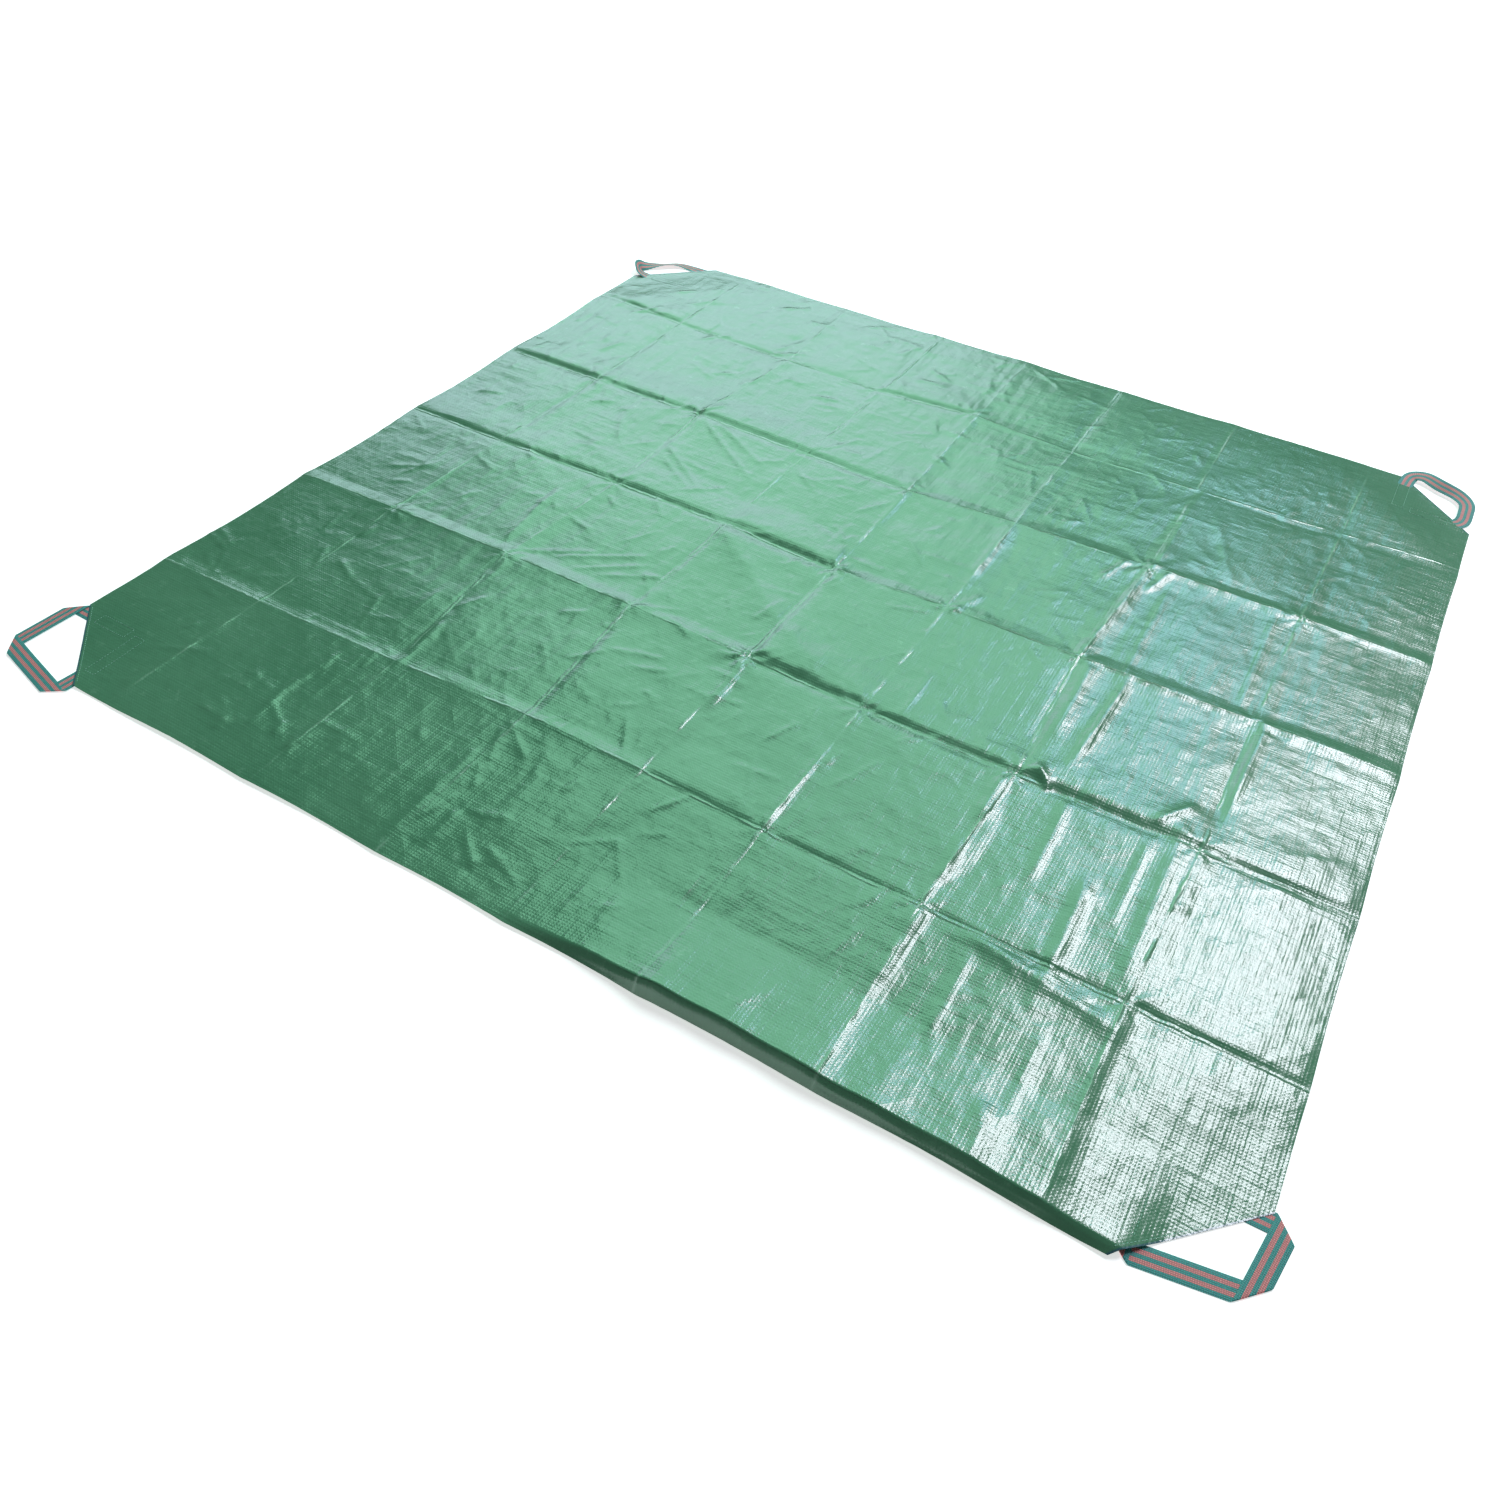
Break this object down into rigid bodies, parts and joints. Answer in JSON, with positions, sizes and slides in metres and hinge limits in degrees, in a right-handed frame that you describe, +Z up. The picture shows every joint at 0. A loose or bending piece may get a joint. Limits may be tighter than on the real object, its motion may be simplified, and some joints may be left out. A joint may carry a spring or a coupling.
{
  "type": "ground sheet with handles",
  "caption": "Square woven plastic ground sheet with cut corners, creased from storage, with a striped webbing carrying handle at each corner.",
  "frame": {"origin": "on the floor, under the middle of the laid-out sheet and its handles", "axes": "+X along the front edge to the right, +Y from the front edge to the back edge, +Z up"},
  "size_m": [2.076, 1.97, 0.0298],
  "materials": {
    "sheet": "glossy laminated woven tape, green",
    "webbing": "ribbed woven webbing, teal with two coral stripes",
    "thread": "sewing thread, dark teal"
  },
  "bodies": {
    "left_half": {"left_middle": "sheet"},
    "right_half": {"right_middle": "sheet"},
    "front_left_corner": {"front_left_flap": "sheet", "front_left_side_tail": "webbing", "front_left_edge_tail": "webbing", "front_left_side_stitching": "thread", "front_left_edge_stitching": "thread", "front_left_hem_stitching": "thread"},
    "front_left_handle": {"front_left_handle": "webbing"},
    "front_right_corner": {"front_right_flap": "sheet", "front_right_side_tail": "webbing", "front_right_edge_tail": "webbing", "front_right_side_stitching": "thread", "front_right_edge_stitching": "thread", "front_right_hem_stitching": "thread"},
    "front_right_handle": {"front_right_handle": "webbing"},
    "back_left_corner": {"back_left_flap": "sheet", "back_left_side_tail": "webbing", "back_left_edge_tail": "webbing", "back_left_side_stitching": "thread", "back_left_edge_stitching": "thread", "back_left_hem_stitching": "thread"},
    "back_left_handle": {"back_left_handle": "webbing"},
    "back_right_corner": {"back_right_flap": "sheet", "back_right_side_tail": "webbing", "back_right_edge_tail": "webbing", "back_right_side_stitching": "thread", "back_right_edge_stitching": "thread", "back_right_hem_stitching": "thread"},
    "back_right_handle": {"back_right_handle": "webbing"}
  },
  "joints": [
    {"name": "centre_fold", "type": "hinge", "parent": "left_half", "child": "right_half", "pos_m": [0, 0, 0.0024], "axis": [0, 1, 0], "range_deg": [-170, 0]},
    {"name": "front_left_corner_lift", "type": "hinge", "parent": "left_half", "child": "front_left_corner", "pos_m": [-0.6, -0.56, 0.0024], "axis": [-0.7071, 0.7071, 0], "range_deg": [0, 170]},
    {"name": "front_left_handle_swing", "type": "hinge", "parent": "front_left_corner", "child": "front_left_handle", "pos_m": [-0.9255, -0.8855, 0.0024], "axis": [0.7071, -0.7071, 0], "range_deg": [-170, 0]},
    {"name": "front_right_corner_lift", "type": "hinge", "parent": "right_half", "child": "front_right_corner", "pos_m": [0.6, -0.56, 0.0024], "axis": [-0.7071, -0.7071, 0], "range_deg": [0, 170]},
    {"name": "front_right_handle_swing", "type": "hinge", "parent": "front_right_corner", "child": "front_right_handle", "pos_m": [0.9255, -0.8855, 0.0024], "axis": [0.7071, 0.7071, 0], "range_deg": [-170, 0]},
    {"name": "back_left_corner_lift", "type": "hinge", "parent": "left_half", "child": "back_left_corner", "pos_m": [-0.6, 0.56, 0.0024], "axis": [0.7071, 0.7071, 0], "range_deg": [0, 170]},
    {"name": "back_left_handle_swing", "type": "hinge", "parent": "back_left_corner", "child": "back_left_handle", "pos_m": [-0.9255, 0.8855, 0.0024], "axis": [-0.7071, -0.7071, 0], "range_deg": [-158, 0]},
    {"name": "back_right_corner_lift", "type": "hinge", "parent": "right_half", "child": "back_right_corner", "pos_m": [0.6, 0.56, 0.0024], "axis": [0.7071, -0.7071, 0], "range_deg": [0, 170]},
    {"name": "back_right_handle_swing", "type": "hinge", "parent": "back_right_corner", "child": "back_right_handle", "pos_m": [0.9255, 0.8855, 0.0024], "axis": [-0.7071, 0.7071, 0], "range_deg": [-158, 0]}
  ]
}
